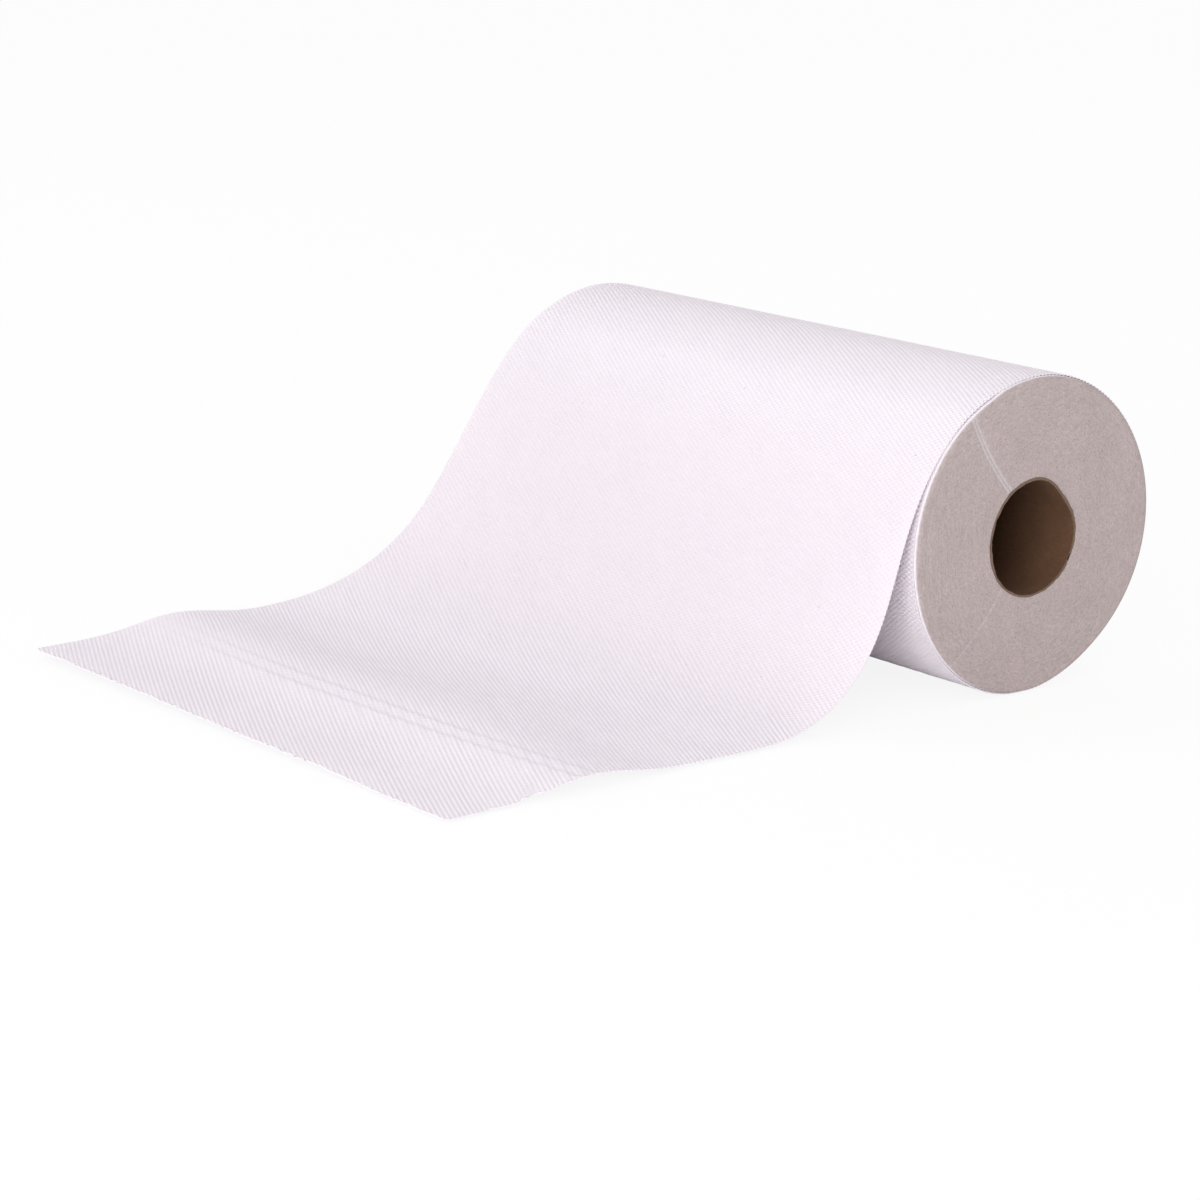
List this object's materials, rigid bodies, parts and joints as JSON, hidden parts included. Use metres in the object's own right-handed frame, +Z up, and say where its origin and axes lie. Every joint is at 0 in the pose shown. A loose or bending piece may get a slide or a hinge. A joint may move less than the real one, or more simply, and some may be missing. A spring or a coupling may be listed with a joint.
{
  "type": "exam table paper roll",
  "caption": "Roll of white embossed exam table paper on a hollow cardboard core, lying on its side with its torn tail let out in front to cover a couch or table.",
  "frame": {"origin": "on the table, at the middle of the flat spot that the roll rests on, midway between the roll's two ends", "axes": "+X along the core towards the end that the picture shows, -Y the way the tail runs out, +Z up"},
  "size_m": [0.25, 0.3231, 0.1173],
  "materials": {
    "paper": "matt, diagonally embossed two-ply paper",
    "core_board": "matt spiral-wound kraft board"
  },
  "bodies": {
    "root": {"paper_roll": "paper", "core_tube": "core_board"}
  },
  "joints": []
}
